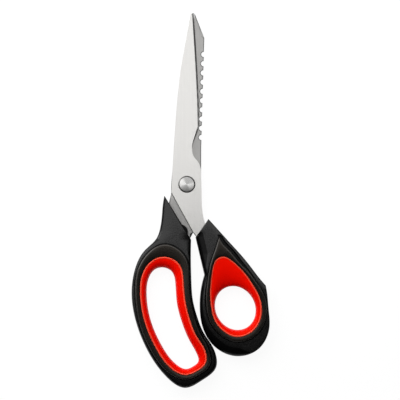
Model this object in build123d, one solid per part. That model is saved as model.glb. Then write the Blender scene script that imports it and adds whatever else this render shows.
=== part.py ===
"""Kitchen shears: two stamped blades on one pivot screw, with two-colour moulded handles.

Frame: the origin is on the pivot axis, on the plane that the shears lie on.
+Y runs to the blade tips, +X to the thumb ring, and +Z out of the face that is seen.
The shears are modelled closed. All sizes are in millimetres.
"""
from build123d import *
from math import cos, hypot, radians, sin
import os

# Depths, counted up from the plane that the shears lie on
handle_depth = 12.0
mid_plane = handle_depth / 2
shell_step = 0.8
liner_step = 0.5
overrun = 2.0
level_tolerance = 0.01

# Blades
blade_thickness = 2.8
blade_gap = 0.1
blade_reach = 115.0
blade_width = 20.0
edge_bevel_width = 1.1
edge_land = 0.3
right_share = 1
left_share = -1
finger_blade_low = mid_plane - blade_gap / 2 - blade_thickness
thumb_blade_low = mid_plane + blade_gap / 2
thumb_blade_high = thumb_blade_low + blade_thickness

# Round bites along the spine of the finger blade
bite_count = 10
bite_pitch = 6.18
bite_radius = 1.75
top_bite_reach = 87.0
crest_offset_high = 11.4
crest_offset_low = 9.6

# Tangs, the ends of the blades that the handles are moulded round
tang_reach = 50.0
tang_anchor_radius = 2.0
thumb_anchor_share = (0.680, -0.840)
finger_anchor_share = (-0.400, -0.600)

# Pivot
head_radius = 5.65
head_height = 1.6
head_edge = 0.7
barrel_radius = 3.0
barrel_flat_share = 0.8
turning_clearance = 0.04
fixed_clearance = 0.02
thread_radius = 2.5
nut_across_flats = 8.6
spring_outer_radius = 4.7
spring_thickness = 0.5
spring_height = 0.85
nut_height = finger_blade_low - spring_height
nut_edge = 0.4
washer_radius = 6.0
washer_thickness = 0.5

# Finger loop, a long bent hole for three or four fingers
finger_hole_width = 34.8
finger_hole_length = 68.0
finger_hole_x = -9.6
finger_hole_y = -89.7
finger_liner_wall = 4.4
finger_collar_wall = 3.4
finger_rim_wall = 2.0
horn_width = 20.0
horn_reach = 44.0

# Thumb ring, a tilted oval hole with a broad rest above it
thumb_hole_length = 30.2
thumb_hole_width = 26.3
thumb_hole_tilt_deg = 119.0
thumb_hole_x = 32.5
thumb_hole_y = -82.9
thumb_liner_wall = 4.4
thumb_collar_wall = 3.3
thumb_rim_wall = 4.0
thumb_head_width = 52.0
thumb_head_reach = 67.5

# Edges and small features of the mouldings
shell_round = 2.2
knee_round = 3.0
collar_edge = 0.6
liner_bead = 0.9
dish_steps = 5
bumper_length = 7.6
bumper_proud = 1.4
bumper_sunk = 2.0
bumper_along_share = 0.765
bumper_height = 3.4

# Outlines of the blades: x as shares of blade_width, y as shares of blade_reach or tang_reach
thumb_spine_shares = ((-0.176, 0.701), (-0.316, 0.503), (-0.400, 0.310), (-0.476, 0.100), (-0.516, -0.120))
thumb_tip_shares = ((0.205, 1.0), (0.118, 0.990))
thumb_tang_shares = (
    (0.210, -0.648), (0.300, -0.696), (0.390, -0.770), (0.640, -1.040), (0.830, -0.960), (0.860, -0.760),
    (0.595, -0.506))
thumb_side_shares = ((0.595, -0.506), (0.525, -0.372), (0.495, -0.130))
thumb_notch_fall_shares = ((0.468, 0.088), (0.345, 0.131), (0.195, 0.166))
thumb_notch_rise_shares = ((0.156, 0.207), (0.270, 0.283), (0.395, 0.348))
thumb_edge_shares = ((0.395, 0.348), (0.365, 0.500), (0.285, 0.780), (0.205, 1.0))
finger_tip_share = (0.235, 0.996)
finger_heel_shares = (
    (-0.085, 0.345), (-0.160, 0.262), (-0.300, 0.182), (-0.440, 0.112), (-0.500, 0.048), (-0.522, -0.120))
finger_shoulder_share = 0.852
finger_tang_shares = (
    (-0.605, -0.258), (-0.680, -0.420), (-0.640, -0.640), (-0.480, -0.755), (-0.110, -0.790),
    (0.115, -0.722), (0.210, -0.648))
finger_side_shares = ((0.210, -0.648), (0.400, -0.460), (0.470, -0.250), (0.478, 0.0))

# Outline of the finger hole, clockwise from its top, as shares of half its width and half its length
finger_hole_shares = (
    (-0.39, 1.00), (-0.03, 0.92), (0.11, 0.69), (0.165, 0.32), (0.36, -0.075), (0.645, -0.43), (0.95, -0.72),
    (0.995, -0.85), (0.82, -0.94), (0.52, -1.00), (0.175, -0.92), (-0.40, -0.55), (-0.815, -0.075),
    (-0.995, 0.475), (-0.88, 0.83), (-0.66, 0.965))
finger_liner_shares = (
    1.65, 1.60, 1.30, 1.35, 1.30, 1.30, 1.40, 1.20, 1.00, 1.00, 1.05, 1.02, 1.00, 1.02, 1.15, 1.35)
finger_collar_shares = (
    2.50, 1.75, 1.12, 1.08, 1.00, 0.88, 0.72, 0.80, 0.76, 0.80, 0.92, 1.05, 1.05, 0.97, 1.15, 1.55)
finger_rim_shares = (
    0, 0, 0.70, 0.65, 0.90, 1.10, 1.60, 2.30, 2.10, 2.80, 1.50, 0.98, 0.93, 1.15, 0.90, 0)
horn_tip_share = (-0.750, -0.172)
horn_foot_share = (0.145, -0.845)
horn_side_shares = ((-1.400, -1.000), (-1.020, -0.825), (-0.880, -0.636), (-0.835, -0.482), (-0.806, -0.320))

# Spokes of the thumb ring, in degrees from +X, and the walls along them as shares of the named walls
peak_spoke_deg = 102.6
ridge_spoke_deg = 461.0
thumb_spokes_deg = (
    peak_spoke_deg, 110.0, 120.0, 135.0, 155.0, 180.0, 210.0, 240.0, 270.0, 300.0, 330.0, 360.0, 385.0,
    410.0, 430.0, 445.0, 455.0)
thumb_liner_shares = (
    4.65, 4.60, 3.48, 1.93, 1.00, 0.60, 0.70, 0.87, 1.12, 1.07, 1.00, 1.00, 1.10, 1.36, 2.07, 3.05, 4.00)
thumb_collar_shares = (
    4.25, 1.65, 1.05, 0.95, 0.95, 1.00, 1.00, 1.00, 1.00, 1.00, 0.95, 0.95, 1.00, 0.92, 0.91, 0.93, 1.79)
thumb_rim_shares = (0, 0, 0, 0, 0, 1.10, 1.46, 2.10, 2.36, 2.10, 1.08, 0.30, 0.56, 0, 0, 0, 0)
ridge_liner_share = 4.50
ridge_collar_share = 2.95
thumb_head_shares = ((0.279, -0.344), (0.112, -0.528), (0.225, -0.900), (1.018, -1.005))
thumb_right_shares = ((0.956, -0.950), (0.776, -0.771), (0.560, -0.583))


def placed(shares, width, reach):
    """Points of an outline from shares of a width and a reach."""
    return [(x * width, y * reach) for x, y in shares]


def blade_points(shares):
    """Blade points: y above the pivot follows the blade's reach, and below it the tang's."""
    points = []
    for x, y in shares:
        reach = blade_reach if y > 0 else tang_reach
        points.append((x * blade_width, y * reach))
    return points


def grown(points, walls):
    """Moves each point of a clockwise outline outwards, square to its neighbours, by its wall."""
    result = []
    for index, (x, y) in enumerate(points):
        before = points[index - 1]
        after = points[(index + 1) % len(points)]
        run_x = after[0] - before[0]
        run_y = after[1] - before[1]
        run = hypot(run_x, run_y)
        result.append((x - run_y / run * walls[index], y + run_x / run * walls[index]))
    return result


def walls_of(wall, shares):
    """The wall at each station."""
    return [wall * share for share in shares]


def smooth_face(points):
    """A face inside one closed smooth curve."""
    return make_face(Spline(*points, periodic=True))


def edge_face(*edges):
    """A face inside a closed chain of edges."""
    return make_face(list(edges))


def prism(face, low, high):
    """A solid with the face's outline between two heights."""
    return extrude(Pos(0, 0, low) * face, high - low)


def cylinder(radius, low, high):
    """An upright round solid on the pivot axis."""
    return prism(Circle(radius), low, high)


def edges_at(solid, height):
    """The edges of a solid that lie in one level plane."""
    flat = solid.edges().filter_by(Plane.XY)
    return [edge for edge in flat if abs(edge.center().Z - height) < level_tolerance]


finger_tip = (finger_tip_share[0] * blade_width, finger_tip_share[1] * blade_reach)

# Finger loop stations
finger_hole = [
    (finger_hole_x + x * finger_hole_width / 2, finger_hole_y + y * finger_hole_length / 2)
    for x, y in finger_hole_shares]
finger_liner_line = grown(finger_hole, walls_of(finger_liner_wall, finger_liner_shares))
finger_collar_line = grown(finger_liner_line, walls_of(finger_collar_wall, finger_collar_shares))


def finger_shell_face():
    """The finger handle seen from the front: a pointed horn that runs into the loop."""
    rim = walls_of(finger_rim_wall, finger_rim_shares)
    loop = [point for point, wall in zip(grown(finger_collar_line, rim), rim) if wall]
    tip, foot = placed((horn_tip_share, horn_foot_share), horn_width, horn_reach)
    side = placed(horn_side_shares, horn_width, horn_reach)
    return edge_face(Line(tip, foot), Spline(foot, *loop, *side, tip))


def thumb_spoke_point(angle, wall):
    """A point outside the thumb hole by a wall, along one spoke."""
    turn = radians(angle - thumb_hole_tilt_deg)
    half_length = thumb_hole_length / 2
    half_width = thumb_hole_width / 2
    radius = half_length * half_width / hypot(half_width * cos(turn), half_length * sin(turn)) + wall
    return (thumb_hole_x + radius * cos(radians(angle)), thumb_hole_y + radius * sin(radians(angle)))


def thumb_ring(walls):
    """One outline round the thumb hole."""
    return [thumb_spoke_point(angle, wall) for angle, wall in zip(thumb_spokes_deg, walls)]


thumb_hole = thumb_ring([0] * len(thumb_spokes_deg))
thumb_liner_walls = walls_of(thumb_liner_wall, thumb_liner_shares)
thumb_collar_walls = [
    inner + thumb_collar_wall * share for inner, share in zip(thumb_liner_walls, thumb_collar_shares)]
thumb_liner_line = thumb_ring(thumb_liner_walls)
thumb_collar_line = thumb_ring(thumb_collar_walls)


def thumb_collar_face():
    """The collar's outline: one curve that starts and ends in a sharp peak towards the blades."""
    wall = thumb_liner_wall * ridge_liner_share + thumb_collar_wall * ridge_collar_share
    ridge = thumb_spoke_point(ridge_spoke_deg, wall)
    curve = Spline(*thumb_collar_line, ridge, thumb_collar_line[0])
    return edge_face(curve.trim(0, 0.5), curve.trim(0.5, 1))


def thumb_shell_face():
    """The thumb handle seen from the front: a slanted head that widens to the ring."""
    top, corner, knee, shoulder = placed(thumb_head_shares, thumb_head_width, thumb_head_reach)
    right = placed(thumb_right_shares, thumb_head_width, thumb_head_reach)
    rim = walls_of(thumb_rim_wall, thumb_rim_shares)
    loop = [
        thumb_spoke_point(angle, inner + wall)
        for angle, inner, wall in zip(thumb_spokes_deg, thumb_collar_walls, rim) if wall]
    return edge_face(
        Line(top, corner), Line(corner, knee), Spline(knee, *loop, shoulder), Spline(shoulder, *right, top))


def thumb_blade_face():
    """The front blade: straight taper, bowed spine, slanted heel, tang, bone notch and edge."""
    tip, tip_back = blade_points(thumb_tip_shares)
    spine = blade_points(thumb_spine_shares)
    tang = blade_points(thumb_tang_shares)
    side = blade_points(thumb_side_shares)
    notch = blade_points(thumb_notch_fall_shares + thumb_notch_rise_shares)
    edge = blade_points(thumb_edge_shares)
    return edge_face(
        Line(tip, tip_back), Line(tip_back, spine[0]), Spline(*spine), Line(spine[-1], tang[0]),
        Polyline(*tang), Spline(*side, notch[0]), Spline(*notch), Spline(*edge))


def finger_blade_face():
    """The rear blade: straight cutting edge, wide heel, tang, and a spine with round bites."""
    heel = blade_points(finger_heel_shares)
    tang = blade_points(finger_tang_shares)
    side = blade_points(finger_side_shares)
    shoulder = (crest_offset_high, finger_shoulder_share * blade_reach)
    crest_foot = (crest_offset_low, top_bite_reach - bite_count * bite_pitch)
    face = edge_face(
        Line(finger_tip, heel[0]), Spline(*heel), Line(heel[-1], tang[0]), Polyline(*tang), Spline(*side),
        Line(side[-1], crest_foot), Line(crest_foot, shoulder), Line(shoulder, finger_tip))
    fall = (crest_offset_low - crest_offset_high) / (crest_foot[1] - shoulder[1])
    for index in range(bite_count):
        reach = top_bite_reach - index * bite_pitch
        offset = crest_offset_high + fall * (reach - shoulder[1])
        face -= Pos(offset, reach) * Circle(bite_radius)
    return face


def bevel_cutter(points, widths, outward, edge_height, face_height):
    """What grinding takes off beside a cutting edge, from the edge's land to the blade's face."""
    away = overrun if face_height > edge_height else -overrun
    sections = []
    for height, share in ((edge_height, 0), (face_height, 1), (face_height + away, 1)):
        line = [(x - outward * width * share, y) for (x, y), width in zip(points, widths)]
        first = (line[0][0] + outward * blade_width, line[0][1])
        last = (line[-1][0] + outward * blade_width, line[-1][1])
        section = edge_face(Spline(*line), Line(line[-1], last), Line(last, first), Line(first, line[0]))
        sections.append(Pos(0, 0, height) * section)
    return loft(sections, ruled=True)


def run_on(points):
    """An open line of points that runs on past its last point."""
    (start_x, start_y), (end_x, end_y) = points[-2:]
    length = hypot(end_x - start_x, end_y - start_y)
    step = overrun / length
    return points + [(end_x + (end_x - start_x) * step, end_y + (end_y - start_y) * step)]


def washer_recess(low, high):
    """The shallow seat for the washer between the blades."""
    return cylinder(washer_radius + turning_clearance, low, high)


def make_thumb_blade():
    """The front blade with its pivot bore and its washer seat."""
    low = thumb_blade_low
    high = thumb_blade_high
    blade = prism(thumb_blade_face(), low, high)
    anchor = placed((thumb_anchor_share,), blade_width, tang_reach)[0]
    blade -= Pos(*anchor) * cylinder(tang_anchor_radius, low - overrun, high + overrun)
    edge = run_on(blade_points(thumb_edge_shares))
    land = low + edge_land
    blade -= bevel_cutter(edge, [edge_bevel_width] * len(edge), right_share, land, high)
    notch = blade_points(thumb_notch_rise_shares)
    last = len(notch) - 1
    fading = [edge_bevel_width * index / last for index in range(len(notch))]
    blade -= bevel_cutter(notch, fading, right_share, land, high)
    blade -= cylinder(barrel_radius + turning_clearance, low - overrun, high + overrun)
    seat = low + (washer_thickness - blade_gap) / 2 + turning_clearance
    blade -= washer_recess(low - overrun, seat)
    return blade


def make_finger_blade():
    """The rear blade with its pivot hole, which has flats that hold the screw."""
    low = finger_blade_low
    high = low + blade_thickness
    blade = prism(finger_blade_face(), low, high)
    edge = run_on([blade_points(finger_heel_shares)[0], finger_tip])
    blade -= bevel_cutter(edge, [edge_bevel_width] * len(edge), left_share, high - edge_land, low)
    anchor = placed((finger_anchor_share,), blade_width, tang_reach)[0]
    blade -= Pos(*anchor) * cylinder(tang_anchor_radius, low - overrun, high + overrun)
    blade -= prism(barrel_section(fixed_clearance), low - overrun, high + overrun)
    blade -= washer_recess(high - (washer_thickness - blade_gap) / 2, high + overrun)
    return blade


def barrel_section(clearance):
    """The flatted section of the screw, or of the hole that holds it."""
    size = 2 * (barrel_radius + clearance)
    flat = 2 * (barrel_radius * barrel_flat_share + clearance)
    return Circle(size / 2) & Rectangle(size, flat)


def dished_liner(hole, outer):
    """A soft ring that bulges into its loop, from a thin bead at each face to the hole at its middle."""
    low = liner_step
    high = handle_depth - liner_step
    bead = []
    for (x, y), (far_x, far_y) in zip(hole, outer):
        share = 1 - liner_bead / hypot(far_x - x, far_y - y)
        bead.append((x + (far_x - x) * share, y + (far_y - y) * share))
    sections = [Pos(0, 0, low - overrun) * smooth_face(bead)]
    for step in range(-dish_steps, dish_steps + 1):
        turn = radians(90 * step / dish_steps)
        out = 1 - cos(turn)
        line = [(x + (far_x - x) * out, y + (far_y - y) * out) for (x, y), (far_x, far_y) in zip(hole, bead)]
        height = mid_plane + (mid_plane - low) * sin(turn)
        sections.append(Pos(0, 0, height) * smooth_face(line))
    sections.append(Pos(0, 0, high + overrun) * smooth_face(bead))
    return prism(smooth_face(outer), low, high) - loft(sections, ruled=True)


def make_collar(outer_face, inner_line):
    """The raised ring round a liner, a little proud of the handle on both faces."""
    ring = prism(outer_face, 0, handle_depth)
    rims = edges_at(ring, 0) + edges_at(ring, handle_depth)
    ring = chamfer(rims, collar_edge)
    return ring - prism(smooth_face(inner_line), -overrun, handle_depth + overrun)


def shell_blank(face):
    """A handle's plain block, before its edges are rounded."""
    return prism(face, shell_step, handle_depth - shell_step)


def finger_blank():
    """The finger handle's block."""
    return shell_blank(finger_shell_face())


def thumb_blank():
    """The thumb handle's block, with the inward knee of its flank rounded."""
    blank = shell_blank(thumb_shell_face())
    top, corner, (knee_x, knee_y), shoulder = placed(thumb_head_shares, thumb_head_width, thumb_head_reach)
    uprights = blank.edges().filter_by(Axis.Z)
    nearest = min(uprights, key=lambda edge: hypot(edge.center().X - knee_x, edge.center().Y - knee_y))
    return fillet(nearest, knee_round)


def make_shell(blank, collar_face, inserts):
    """A handle moulding with rounded edges, open where the collar and the metal sit in it."""
    low = shell_step
    high = handle_depth - shell_step
    shell = fillet(edges_at(blank, low) + edges_at(blank, high), shell_round)
    shell -= prism(collar_face, low - overrun, high + overrun)
    for insert in inserts:
        shell -= insert
    return shell


def make_bumper():
    """The rubber stop set in the horn's inner wall, beside the front blade's slanted heel."""
    tip, foot = placed((horn_tip_share, horn_foot_share), horn_width, horn_reach)
    wall = hypot(foot[0] - tip[0], foot[1] - tip[1])
    along = Vector((foot[0] - tip[0]) / wall, (foot[1] - tip[1]) / wall)
    out = Vector(-along.Y, along.X)
    middle = Vector(*tip) + along * (wall * bumper_along_share)
    start = middle - along * (bumper_length / 2)
    end = middle + along * (bumper_length / 2)
    crown = middle + along * (bumper_length / 6) + out * bumper_proud
    face = edge_face(
        ThreePointArc(start, crown, end), Line(end, end - out * bumper_sunk),
        Line(end - out * bumper_sunk, start - out * bumper_sunk), Line(start - out * bumper_sunk, start))
    low = finger_blade_low + blade_thickness
    return prism(face, low, low + bumper_height)


def make_pivot_screw():
    """The screw: a round head on the front blade, a flatted barrel and a threaded end."""
    seat = thumb_blade_high + fixed_clearance
    head = cylinder(head_radius, seat, seat + head_height)
    head = chamfer(edges_at(head, seat + head_height), head_edge)
    turning = cylinder(barrel_radius, thumb_blade_low, seat)
    held = prism(barrel_section(0), finger_blade_low, thumb_blade_low)
    return head + turning + held + cylinder(thread_radius, 0, finger_blade_low)


def make_pivot_nut():
    """The low hexagon nut, whose outer face lies level with the screw's end."""
    corner = nut_across_flats / (2 * cos(radians(30)))
    nut = prism(RegularPolygon(corner, 6), 0, nut_height)
    dome = chamfer(edges_at(cylinder(corner, 0, nut_height), 0), nut_edge)
    return (nut & dome) - cylinder(thread_radius + fixed_clearance, -overrun, nut_height + overrun)


def make_spring_washer():
    """The dished spring washer between the nut and the rear blade."""
    bore = thread_radius + turning_clearance
    low = nut_height
    high = finger_blade_low
    section = make_face(Polyline(
        (bore, high - spring_thickness), (bore, high), (spring_outer_radius, low + spring_thickness),
        (spring_outer_radius, low), (bore, high - spring_thickness)))
    return revolve(Plane.XZ * section, Axis.Z)


def make_friction_washer():
    """The thin plastic washer between the blades, sunk in a shallow seat on each side."""
    low = finger_blade_low + blade_thickness - (washer_thickness - blade_gap) / 2
    bore = barrel_radius + turning_clearance
    washer = cylinder(washer_radius, low, low + washer_thickness)
    return washer - cylinder(bore, low - overrun, low + washer_thickness + overrun)


finger_blade = make_finger_blade()
thumb_blade = make_thumb_blade()
bumper = make_bumper()
finger_collar_face = smooth_face(finger_collar_line)
parts = {
    "finger_blade": finger_blade,
    "finger_handle": make_shell(finger_blank(), finger_collar_face, [finger_blade, bumper]),
    "finger_collar": make_collar(finger_collar_face, finger_liner_line),
    "finger_liner": dished_liner(finger_hole, finger_liner_line),
    "closing_bumper": bumper,
    "pivot_screw": make_pivot_screw(),
    "pivot_nut": make_pivot_nut(),
    "spring_washer": make_spring_washer(),
    "friction_washer": make_friction_washer(),
    "thumb_blade": thumb_blade,
    "thumb_handle": make_shell(thumb_blank(), thumb_collar_face(), [thumb_blade]),
    "thumb_collar": make_collar(thumb_collar_face(), thumb_liner_line),
    "thumb_liner": dished_liner(thumb_hole, thumb_liner_line),
}

os.makedirs("parts", exist_ok=True)
for name, solid in parts.items():
    export_step(solid, f"parts/{name}.step")
    print(name, len(solid.solids()), round(solid.volume), solid.is_valid)
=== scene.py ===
"""Kitchen shears, dressed: ground steel blades, grained black handles and soft red liners.

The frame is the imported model's: the origin on the pivot axis at the rest plane, +Y to the blade
tips, +X to the thumb ring and +Z out of the face that is seen. Sizes are in millimetres until a
mesh is made, which turns them into metres.
"""
import logging
import math
from dataclasses import dataclass
from enum import Enum
from typing import Callable, Sequence

import bpy
import numpy as np
from mathutils import Matrix, Vector
from mathutils.geometry import delaunay_2d_cdt
from mathutils.kdtree import KDTree


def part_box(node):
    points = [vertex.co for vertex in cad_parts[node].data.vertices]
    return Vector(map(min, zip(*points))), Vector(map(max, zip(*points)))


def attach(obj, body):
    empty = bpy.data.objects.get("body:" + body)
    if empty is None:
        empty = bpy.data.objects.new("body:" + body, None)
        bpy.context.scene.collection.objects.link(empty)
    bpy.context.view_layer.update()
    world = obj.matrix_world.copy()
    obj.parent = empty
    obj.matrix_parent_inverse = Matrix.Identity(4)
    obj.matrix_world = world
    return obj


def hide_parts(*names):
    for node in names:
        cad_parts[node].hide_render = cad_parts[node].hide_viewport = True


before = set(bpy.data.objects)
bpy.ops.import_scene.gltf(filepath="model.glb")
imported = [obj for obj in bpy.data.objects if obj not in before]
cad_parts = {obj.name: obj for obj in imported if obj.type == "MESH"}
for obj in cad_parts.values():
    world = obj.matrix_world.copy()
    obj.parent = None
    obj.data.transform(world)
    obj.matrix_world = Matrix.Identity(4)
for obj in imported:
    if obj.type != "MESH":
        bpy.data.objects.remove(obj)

Points = np.ndarray
Pairs = Sequence[tuple[float, float]]
Colour = tuple[float, float, float]
Height = Callable[[Points], np.ndarray]
Socket = bpy.types.NodeSocket

MM = 0.001
LINE_STEP = 0.55
NOTCH_STEP = 0.4
GRID_STEP = 1.7
BLADE_GRID_STEP = 2.4
COLLAR_GRID_STEP = 1.3
GRID_ROW_SHARE = 0.866
ROW_ROOM_SHARE = 0.6
MERGE_STEP = 0.05
SHARP_ANGLE = math.radians(32)
ROUND_SHARES = (0.03, 0.13, 0.29, 0.5, 0.74, 1.0)
CHAMFER_SHARES = (0.5, 1.0)
GROOVE_SHARES = (0.3, 0.6, 0.7, 0.8, 0.9, 1.0, 1.35)
GROOVE_FLOOR_SHARE = 0.6
# Share of a groove's width painted black as painted shade.
GROOVE_SHADE_SHARE = 0.9
GROOVE_TURN_START = -0.4
GROOVE_TURN_SPAN = 1.2
LIP_SHARE = 0.25
NOISE_LOW, NOISE_HIGH = 0.3, 0.7
# Painted sheen of the turned head: its colour is darkened in wedges round its axis.
WEDGE_PAIRS = 2
WEDGE_LOW, WEDGE_HIGH = -0.2, 0.9
PAINTED_SHEEN_SHADE = (0.02, 0.02, 0.02)
BORE_SIDES = 48
CHUNK = 1500

log = logging.getLogger("shears")


class Body(Enum):
    """The two halves that turn about the pivot."""

    FINGER = "finger_half"
    THUMB = "thumb_half"


class EdgeForm(Enum):
    """How an edge is broken."""

    ROUND = "round"
    CHAMFER = "chamfer"


class Grain(Enum):
    """Which way a metal was worked."""

    LENGTHWISE = "lengthwise"
    SPUN = "spun"


def span(node: str) -> tuple[float, float]:
    """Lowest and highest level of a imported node.

    Args:
        node: The node's name.

    Returns:
        Both heights above the rest plane, in millimetres.
    """
    low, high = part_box(node)
    return low.z / MM, high.z / MM


def placed(shares: Pairs, width: float, reach: float) -> Points:
    """Points of an outline from shares of a width and a reach.

    Args:
        shares: Pairs of shares.
        width: What a share of 1 means across.
        reach: What a share of 1 means along.

    Returns:
        The points.
    """
    return np.array(shares, float) * (width, reach)


def smooth(stations: Points, closed: bool, ends: Points | None = None, step: float = LINE_STEP,
           counts: np.ndarray | None = None) -> Points:
    """Points of the smooth curve through the stations.

    Args:
        stations: The points that the curve passes through.
        closed: Whether it runs back to its first station.
        ends: The directions at both ends of an open curve, where they are known.
        step: About how far apart the points lie.
        counts: How many points each span gets, instead of the step.

    Returns:
        The points, without a repeat of the first on a closed curve.
    """
    stations = np.asarray(stations, float)
    after = np.roll(stations, -1, 0) if closed else stations[1:]
    runs = after - (stations if closed else stations[:-1])
    gaps = np.hypot(*runs.T)
    size = len(stations)
    matrix = np.zeros((size, size))
    right = np.zeros((size, 2))
    rates = runs / gaps[:, None]
    for row in range(size):
        if not closed and row in (0, size - 1):
            matrix[row, row] = 1
            continue
        before, here = gaps[row - 1], gaps[row]
        matrix[row, row - 1] += 1 / before
        matrix[row, row] += 2 / before + 2 / here
        matrix[row, (row + 1) % size] += 1 / here
        right[row] = 3 * (rates[row - 1] / before + rates[row] / here)
    if not closed:
        if ends is None:
            right[0] = rates[0] + (rates[0] - rates[1]) * gaps[0] / (gaps[0] + gaps[1])
            right[-1] = rates[-1] + (rates[-1] - rates[-2]) * gaps[-1] / (gaps[-1] + gaps[-2])
        else:
            right[[0, -1]] = ends / np.hypot(*np.asarray(ends).T)[:, None]
    slopes = np.linalg.solve(matrix, right)
    if counts is None:
        counts = np.maximum(1, np.round(gaps / step)).astype(int)
    line = []
    for index, gap in enumerate(gaps):
        part = (np.arange(counts[index]) / counts[index])[:, None]
        start, end = stations[index], after[index]
        leave, arrive = slopes[index] * gap, slopes[(index + 1) % size] * gap
        line.append((2 * part**3 - 3 * part**2 + 1) * start + (part**3 - 2 * part**2 + part) * leave
                    + (3 * part**2 - 2 * part**3) * end + (part**3 - part**2) * arrive)
    if not closed:
        line.append(stations[-1:])
    return np.concatenate(line)


def straight(start: Points, end: Points, step: float = LINE_STEP) -> Points:
    """Evenly spaced points from a start to just before an end.

    Args:
        start: The first point.
        end: The point that the line runs to.
        step: About how far apart the points lie.

    Returns:
        The points, without the end.
    """
    start, end = np.asarray(start, float), np.asarray(end, float)
    count = max(1, round(float(np.hypot(*(end - start))) / step))
    return start + (end - start) * (np.arange(count) / count)[:, None]


def shifted(line: Points, distance: float | np.ndarray, closed: bool) -> Points:
    """Moves a line to its left, with corners mitred.

    Args:
        line: The points.
        distance: How far, for all points or for each.
        closed: Whether the line runs back to its first point.

    Returns:
        The moved points.
    """
    before, after = np.roll(line, 1, 0), np.roll(line, -1, 0)
    if not closed:
        before[0] = 2 * line[0] - line[1]
        after[-1] = 2 * line[-1] - line[-2]
    sides = []
    for run in (line - before, after - line):
        run = run / np.maximum(np.hypot(*run.T), 1e-9)[:, None]
        sides.append(np.stack([-run[:, 1], run[:, 0]], 1))
    lean = np.maximum(1 + np.sum(sides[0] * sides[1], 1), 0.1)
    return line + (sides[0] + sides[1]) / lean[:, None] * np.broadcast_to(distance, len(line))[:, None]


def nearest(points: Points, line: Points, closed: bool) -> tuple[np.ndarray, np.ndarray]:
    """Distance from points to a line.

    Args:
        points: The points.
        line: The line's points.
        closed: Whether the line runs back to its first point.

    Returns:
        Each point's distance, and its place along the line, counted in the line's points.
    """
    start = line if closed else line[:-1]
    run = (np.roll(line, -1, 0) if closed else line[1:]) - start
    square = np.maximum(np.sum(run * run, 1), 1e-12)
    distances, places = np.empty(len(points)), np.empty(len(points))
    for first in range(0, len(points), CHUNK):
        some = points[first:first + CHUNK]
        to = some[:, None, :] - start[None]
        along = np.clip(np.sum(to * run, 2) / square, 0, 1)
        gap = np.sum((to - along[..., None] * run) ** 2, 2)
        best = gap.argmin(1)
        rows = np.arange(len(some))
        distances[first:first + CHUNK] = np.sqrt(gap[rows, best])
        places[first:first + CHUNK] = best + along[rows, best]
    return distances, places


def inside(points: Points, loop: Points) -> np.ndarray:
    """Whether points lie inside a closed line.

    Args:
        points: The points.
        loop: The closed line.

    Returns:
        One truth value for each point.
    """
    after = np.roll(loop, -1, 0)
    result = np.zeros(len(points), bool)
    for first in range(0, len(points), CHUNK):
        some = points[first:first + CHUNK]
        x, y = some[:, :1], some[:, 1:]
        spans = (loop[:, 1] > y) != (after[:, 1] > y)
        rise = np.where(after[:, 1] == loop[:, 1], 1, after[:, 1] - loop[:, 1])
        cross = x < loop[:, 0] + (y - loop[:, 1]) / rise * (after[:, 0] - loop[:, 0])
        result[first:first + CHUNK] = np.sum(spans & cross, 1) % 2 == 1
    return result


def eased(value: np.ndarray) -> np.ndarray:
    """A smooth step from 0 to 1."""
    value = np.clip(value, 0, 1)
    return value * value * (3 - 2 * value)


@dataclass
class Edge:
    """A stretch of an outline, with the break that it gets; the solid lies to its left."""

    line: Points
    width: float | np.ndarray
    drop: float | np.ndarray
    form: EdgeForm = EdgeForm.ROUND
    closed: bool = False
    painted_share: float | np.ndarray = 0.5

    def dark(self, points: Points) -> np.ndarray:
        """Whether points lie on the steep outer part of the break, the part with a painted finish: painted
        shade on the handles' flanks, a painted highlight on the collars' edges.
        """
        distance, places = nearest(points, self.line, self.closed)
        return distance < self.along(np.asarray(self.width) * self.painted_share, places)

    def along(self, value: float | np.ndarray, places: np.ndarray) -> np.ndarray:
        """A value at places along the line.

        Args:
            value: One value, or one for each point of the line.
            places: Places counted in the line's points.

        Returns:
            The value at each place.
        """
        values = np.broadcast_to(value, len(self.line)).astype(float)
        if self.closed:
            values = np.append(values, values[0])
        return np.interp(places, np.arange(len(values)), values)

    def depth(self, points: Points) -> np.ndarray:
        """How far the broken edge lies under its face.

        Args:
            points: Points in plan.

        Returns:
            The depth at each point.
        """
        distance, places = nearest(points, self.line, self.closed)
        width = np.maximum(self.along(self.width, places), 1e-6)
        share = np.clip(1 - distance / width, 0, 1)
        if self.form is EdgeForm.ROUND:
            share = 1 - np.sqrt(1 - share**2)
        return self.along(self.drop, places) * share

    def rows(self) -> list[Points]:
        """Lines of points that the mesh needs to show the break."""
        shares = ROUND_SHARES if self.form is EdgeForm.ROUND else CHAMFER_SHARES
        return [shifted(self.line, np.asarray(self.width) * share, self.closed) for share in shares]


@dataclass
class Groove:
    """A flat-floored groove on the outside of a closed line."""

    line: Points
    width: np.ndarray
    deep: float

    def across(self, points: Points) -> np.ndarray:
        """Distance of points from the line.

        Args:
            points: Points in plan.

        Returns:
            Each distance, as a share of the groove's width there.
        """
        distance, places = nearest(points, self.line, True)
        width = np.interp(places, np.arange(len(self.line) + 1), np.append(self.width, self.width[0]))
        return distance / width

    def depth(self, points: Points) -> np.ndarray:
        """How far the groove lies under its face.

        Args:
            points: Points in plan.

        Returns:
            The depth at each point.
        """
        rise = (self.across(points) - GROOVE_FLOOR_SHARE) / (1 - GROOVE_FLOOR_SHARE)
        return self.deep * (1 - eased(rise))

    def dark(self, points: Points) -> np.ndarray:
        """Whether points lie in the groove, which is painted black as painted shade."""
        return self.across(points) < GROOVE_SHADE_SHARE

    def rows(self) -> list[Points]:
        """Lines of points that the mesh needs to show the groove."""
        return [shifted(self.line, -self.width * share, True) for share in GROOVE_SHARES]


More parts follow.
